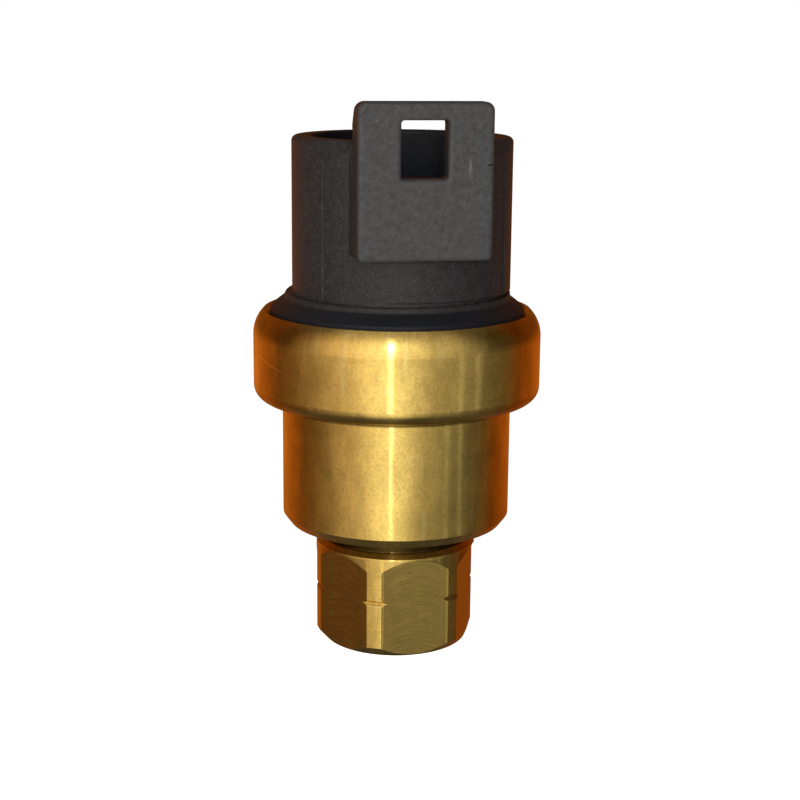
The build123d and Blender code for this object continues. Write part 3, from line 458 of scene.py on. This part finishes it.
# %% Helix group
def make_helix_group():
    group = bpy.data.node_groups.new("helix_sweep", "GeometryNodeTree")
    sockets = {}
    for name, kind in (("Turns", "Float"), ("Radius", "Float"), ("Bottom", "Float"), ("Height", "Float"),
                       ("Ease", "Float"), ("Profile Radius", "Float"), ("Profile Sides", "Int"),
                       ("Profile Turn", "Float"), ("Steps", "Int"), ("Centre", "Vector"),
                       ("Material", "Material")):
        item = group.interface.new_socket(name, in_out="INPUT", socket_type="NodeSocket" + kind)
        sockets[name] = item.identifier
    group.interface.new_socket("Geometry", in_out="OUTPUT", socket_type="NodeSocketGeometry")
    g = Graph(group, "NodeGroupOutput")
    given = g.node("NodeGroupInput").outputs

    spiral = g.node("GeometryNodeCurveSpiral", {
        "Resolution": given["Steps"], "Rotations": given["Turns"], "Start Radius": given["Radius"],
        "End Radius": given["Radius"], "Height": 1.0}).outputs[0]
    factor = g.node("GeometryNodeSplineParameter").outputs["Factor"]
    wave = g.math("MULTIPLY", g.math("SINE", g.math("MULTIPLY", factor, 2 * math.pi)), 1 / (2 * math.pi))
    eased = g.math("SUBTRACT", factor, g.math("MULTIPLY", wave, given["Ease"]))
    level = g.math("ADD", given["Bottom"], g.math("MULTIPLY", eased, given["Height"]))
    x, y, _ = g.split(g.node("GeometryNodeInputPosition").outputs[0])
    middle = g.split(given["Centre"])
    place = g.join(g.math("ADD", x, middle[0]), g.math("ADD", y, middle[1]), level)
    path = g.node("GeometryNodeSetPosition", {"Geometry": spiral, "Position": place}).outputs[0]
    path = g.node("GeometryNodeSetCurveNormal", {"Curve": path}, mode="Z_UP").outputs[0]
    path = g.node("GeometryNodeSetCurveTilt", {"Curve": path, "Tilt": given["Profile Turn"]}).outputs[0]
    profile = g.node("GeometryNodeCurvePrimitiveCircle", {"Resolution": given["Profile Sides"],
                                                          "Radius": given["Profile Radius"]}).outputs[0]
    swept = g.node("GeometryNodeCurveToMesh", {"Curve": path, "Profile Curve": profile,
                                               "Fill Caps": True}).outputs[0]
    real = g.node("GeometryNodeRealizeInstances", {"Geometry": swept}).outputs[0]
    dressed = g.node("GeometryNodeSetMaterial", {"Geometry": real, "Material": given["Material"]})
    g.link(dressed.outputs[0], g.out.inputs[0])
    return group, sockets


helix_group, helix_sockets = make_helix_group()
print("group inputs", list(helix_sockets))


# %% [markdown]
# ## Thread and springs
# The port's thread is a three-sided profile wound up the bore. It is a simplification: its edge points
# outwards into the wall, so what shows is a flat ridge that is wider at its face than at its root,
# where a real thread narrows towards the axis. It is also wound
# left-handed, where the real one is right-handed.
# A wound spring is a round profile with its end turns eased together. Each spring takes the place of
# its CAD solid and rides on the switch body.

# %% Thread and springs
def helix(name, body, slot, turns, radius, bottom, top, profile_radius, sides=20, profile_turn=0.0, ease=0.0,
          centre=(0, 0, 0), steps=48):
    """A swept helix in millimetres, evaluated to a plain mesh that rides on a body."""
    values = {"Turns": turns, "Radius": radius * MM, "Bottom": bottom * MM, "Height": (top - bottom) * MM,
              "Ease": ease, "Profile Radius": profile_radius * MM, "Profile Sides": sides,
              "Profile Turn": profile_turn, "Steps": steps, "Centre": [c * MM for c in centre],
              "Material": finishes[slot]}
    piece = bpy.data.objects.new(name, bpy.data.meshes.new(name))
    bpy.context.scene.collection.objects.link(piece)
    modifier = piece.modifiers.new("helix", "NODES")
    modifier.node_group = helix_group
    for key, value in values.items():
        modifier[helix_sockets[key]] = value
    evaluated = piece.evaluated_get(bpy.context.evaluated_depsgraph_get())
    piece.data = bpy.data.meshes.new_from_object(evaluated)
    piece.modifiers.remove(modifier)
    piece.data.polygons.foreach_set("use_smooth", [sides > 4] * len(piece.data.polygons))
    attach(piece, body)
    print(name, len(piece.data.polygons), "faces")
    return piece


PITCH = 25.4 / 20
THREAD_BOTTOM, THREAD_TOP = 1.3, 8.7
THREAD_RADIUS, THREAD_DEPTH = 5.40, 0.52
thread_turns = (THREAD_TOP - THREAD_BOTTOM) / PITCH
helix("port_thread", "switch_body", "body_brass", thread_turns, THREAD_RADIUS, THREAD_BOTTOM, THREAD_TOP,
      THREAD_DEPTH, sides=3, profile_turn=math.pi, steps=72)


def wire_spring(name, node, slot, wire, turns, body, x=0.0):
    """Wound wire in place of a CAD spring, riding on a body."""
    low, high = (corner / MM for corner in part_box(node))
    mean = (high.x - low.x - wire) / 2
    spring = helix(name, body, slot, turns, mean, low.z + wire / 2, high.z - wire / 2, wire / 2, ease=0.72,
                   centre=(x, 0, 0))
    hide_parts(node)
    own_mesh(spring)


wire_spring("coil_calibration", "calibration_spring", "spring_steel", wire=0.9, turns=6.0,
            body="switch_body")
wire_spring("coil_return", "arm_return_spring", "spring_steel", wire=0.25, turns=7.0,
            body="switch_body", x=2.2)


# %% [markdown]
# ## Floor
# The switch stands on a pale floor that also glows a little, more strongly for what the camera sees
# directly than for the light it gives, so that it runs into the white background. Reflections don't
# see it.

# %% Floor
FLOOR_SIZE = 3.0
FLOOR_GLOW, FLOOR_GLOW_SEEN = 0.30, 0.85


def make_floor():
    material, g = new_material("floor")
    tone = g.noise(g.place((0.004, 0.004, 0.004)))
    seen = g.node("ShaderNodeLightPath").outputs["Is Camera Ray"]
    g.shader(Base_Color=g.mix(tone, rgb(0.80, 0.80, 0.80), rgb(0.84, 0.84, 0.84)), Roughness=0.9,
             Emission_Color=rgb(1, 1, 1),
             Emission_Strength=g.range(seen, 0.0, 1.0, FLOOR_GLOW, FLOOR_GLOW_SEEN))
    mesh = bpy.data.meshes.new("floor")
    half = FLOOR_SIZE / 2
    corners = [(-half, -half, 0), (half, -half, 0), (half, half, 0), (-half, half, 0)]
    mesh.from_pydata(corners, [], [(0, 1, 2, 3)])
    mesh.materials.append(material)
    floor = bpy.data.objects.new("floor", mesh)
    bpy.context.scene.collection.objects.link(floor)
    floor.visible_glossy = False


make_floor()

# %% [markdown]
# ## Surroundings
# Metal shows its surroundings more than its own colour. These aren't a real room, and they are more
# than plain soft light: a band of colours round the switch, set by the angle from the camera's
# direction and tuned until the brass looked right from there. It is brightest just left of the
# camera, falls off towards the sides, and is a warm orange behind. A narrow strip, a lamp patch and
# two pale posts add sharp reflections. The camera sees plain white instead, and matt surfaces are
# lit by a dim grey. The light stays behind when the object is exported, so elsewhere its brass will
# look different.

# %% Surroundings
ROOM = [                             # degrees round the switch from the camera, and the light there
    (-180, (0.50, 0.15, 0.020)), (-150, (0.70, 0.205, 0.024)), (-122, (0.49, 0.145, 0.019)),
    (-106, (0.25, 0.105, 0.030)), (-90, (0.28, 0.155, 0.064)), (-70, (0.42, 0.305, 0.19)),
    (-45, (0.82, 0.67, 0.48)), (-28, (1.20, 1.08, 0.82)), (-10, (1.36, 1.34, 1.08)),
    (6, (1.22, 1.20, 0.96)), (18, (0.95, 0.91, 0.73)), (30, (0.57, 0.54, 0.42)),
    (55, (0.36, 0.35, 0.29)), (78, (0.21, 0.19, 0.14)), (96, (0.20, 0.135, 0.065)),
    (116, (0.29, 0.085, 0.011)), (148, (0.52, 0.13, 0.012)), (180, (0.50, 0.15, 0.020)),
]
STEEP_LIGHT = (0.46, 0.42, 0.34)     # far above and below the band
STREAK_AZIMUTH = -4.4
STREAK_LIGHT, STREAK_STRENGTH = (1.0, 0.97, 0.90), 13.0
POST_AZIMUTHS = (52, 67)
POST_LIGHT, POST_STRENGTH = (0.62, 0.66, 0.60), 0.34
MATT_LIGHT = (0.10, 0.10, 0.11)      # what matt surfaces receive
DEGREES = 180 / math.pi
world = bpy.data.worlds.new("room")
world.use_nodes = True
bpy.context.scene.world = world


def make_world():
    g = Graph(world.node_tree, "ShaderNodeOutputWorld")
    direction = g.node("ShaderNodeTexCoord").outputs["Generated"]
    back = g.node("ShaderNodeVectorMath", {0: direction, 1: tuple(camera_back)}, operation="DOT_PRODUCT")
    right = g.node("ShaderNodeVectorMath", {0: direction, 1: tuple(camera_right)}, operation="DOT_PRODUCT")
    azimuth = g.math("ARCTAN2", right.outputs["Value"], back.outputs["Value"])
    azimuth = g.math("MULTIPLY", azimuth, DEGREES)
    elevation = g.math("MULTIPLY", g.math("ARCSINE", g.split(direction)[2]), DEGREES)

    ramp = g.node("ShaderNodeValToRGB", {"Fac": g.range(azimuth, -180, 180)})
    stops = ramp.color_ramp.elements
    stops[0].color, stops[1].color = rgb(*ROOM[0][1]), rgb(*ROOM[-1][1])
    for angle, colour in ROOM[1:-1]:
        stops.new((angle + 180) / 360).color = rgb(*colour)

    near = g.band(azimuth, -6, 14, 22)
    front = g.band(azimuth, -5, 55, 35)
    over = g.math("ADD", g.math("MULTIPLY", front, 0.95), 0.35)
    rise = g.mix(g.range(elevation, -12, 0), rgb(1, 1, 1), over)
    table = g.math("MAXIMUM", g.range(elevation, -18.0, -12.5, 0.56, 1.0), near)
    steep = g.range(g.math("ABSOLUTE", elevation), 34, 62)
    colour = g.mix(steep, ramp.outputs[0], rgb(*STEEP_LIGHT))
    high = g.range(elevation, 22, 60, 1.0, 0.80)
    low = g.range(elevation, -24, -60, 1.0, 0.30)
    gain = g.math("MULTIPLY", g.math("MULTIPLY", rise, high), g.math("MULTIPLY", low, table))
    streak = g.math("MULTIPLY", g.band(azimuth, STREAK_AZIMUTH, 0.35, 0.5),
                    g.band(elevation, 16.0, 24.0, 5.0))
    lamp = g.math("MULTIPLY", g.band(azimuth, STREAK_AZIMUTH, 1.4, 1.2),
                  g.band(elevation, 26.0, 7.0, 4.0))
    streak = g.math("MAXIMUM", streak, g.math("MULTIPLY", lamp, 1.5))
    lit = g.node("ShaderNodeBackground", {"Color": colour, "Strength": gain}).outputs[0]
    strength = g.math("MULTIPLY", streak, STREAK_STRENGTH)
    strip = g.node("ShaderNodeBackground", {"Color": rgb(*STREAK_LIGHT), "Strength": strength}).outputs[0]
    room = g.node("ShaderNodeAddShader", {0: lit, 1: strip}).outputs[0]
    posts = g.math("MAXIMUM", g.band(azimuth, POST_AZIMUTHS[0], 1.0, 1.5),
                   g.band(azimuth, POST_AZIMUTHS[1], 1.5, 1.5))
    posts = g.math("MULTIPLY", posts, g.band(elevation, -14.0, 6.0, 6.0))
    strength = g.math("MULTIPLY", posts, POST_STRENGTH)
    pale = g.node("ShaderNodeBackground", {"Color": rgb(*POST_LIGHT), "Strength": strength}).outputs[0]
    room = g.node("ShaderNodeAddShader", {0: room, 1: pale}).outputs[0]
    dim = g.node("ShaderNodeBackground", {"Color": rgb(*MATT_LIGHT)}).outputs[0]
    white = g.node("ShaderNodeBackground", {"Color": rgb(1, 1, 1)}).outputs[0]
    path = g.node("ShaderNodeLightPath").outputs
    soft = g.node("ShaderNodeMixShader", {0: path["Is Diffuse Ray"], 1: room, 2: dim}).outputs[0]
    both = g.node("ShaderNodeMixShader", {0: path["Is Camera Ray"], 1: soft, 2: white}).outputs[0]
    g.link(both, g.out.inputs["Surface"])


make_world()


# %% [markdown]
# ## Lights
# Two soft cards light the matt surfaces: a small one almost straight in front and a large one to the
# left. Both stand higher than the switch, and neither shows in reflections.

# %% Lights
def card(name, azimuth, distance, height, size, power):
    """A softbox at an angle round from the camera, aimed at the middle of the switch."""
    a = CAMERA_AZIMUTH + math.radians(azimuth)
    data = bpy.data.lights.new(name, "AREA")
    data.shape = "RECTANGLE"
    data.size, data.size_y = [s * MM for s in size]
    data.energy = power
    light = bpy.data.objects.new(name, data)
    light.location = (math.sin(a) * distance * MM, -math.cos(a) * distance * MM, height * MM)
    aim = Vector((0, 0, (cad_low.z + cad_high.z) / 2)) - light.location
    light.rotation_mode = "QUATERNION"
    light.rotation_quaternion = aim.to_track_quat("-Z", "Y")
    light.visible_glossy = False
    bpy.context.scene.collection.objects.link(light)


card("front_high", 4, 150, 68, (60, 24), 0.14)
card("front_left", -42, 240, 82, (130, 110), 0.27)
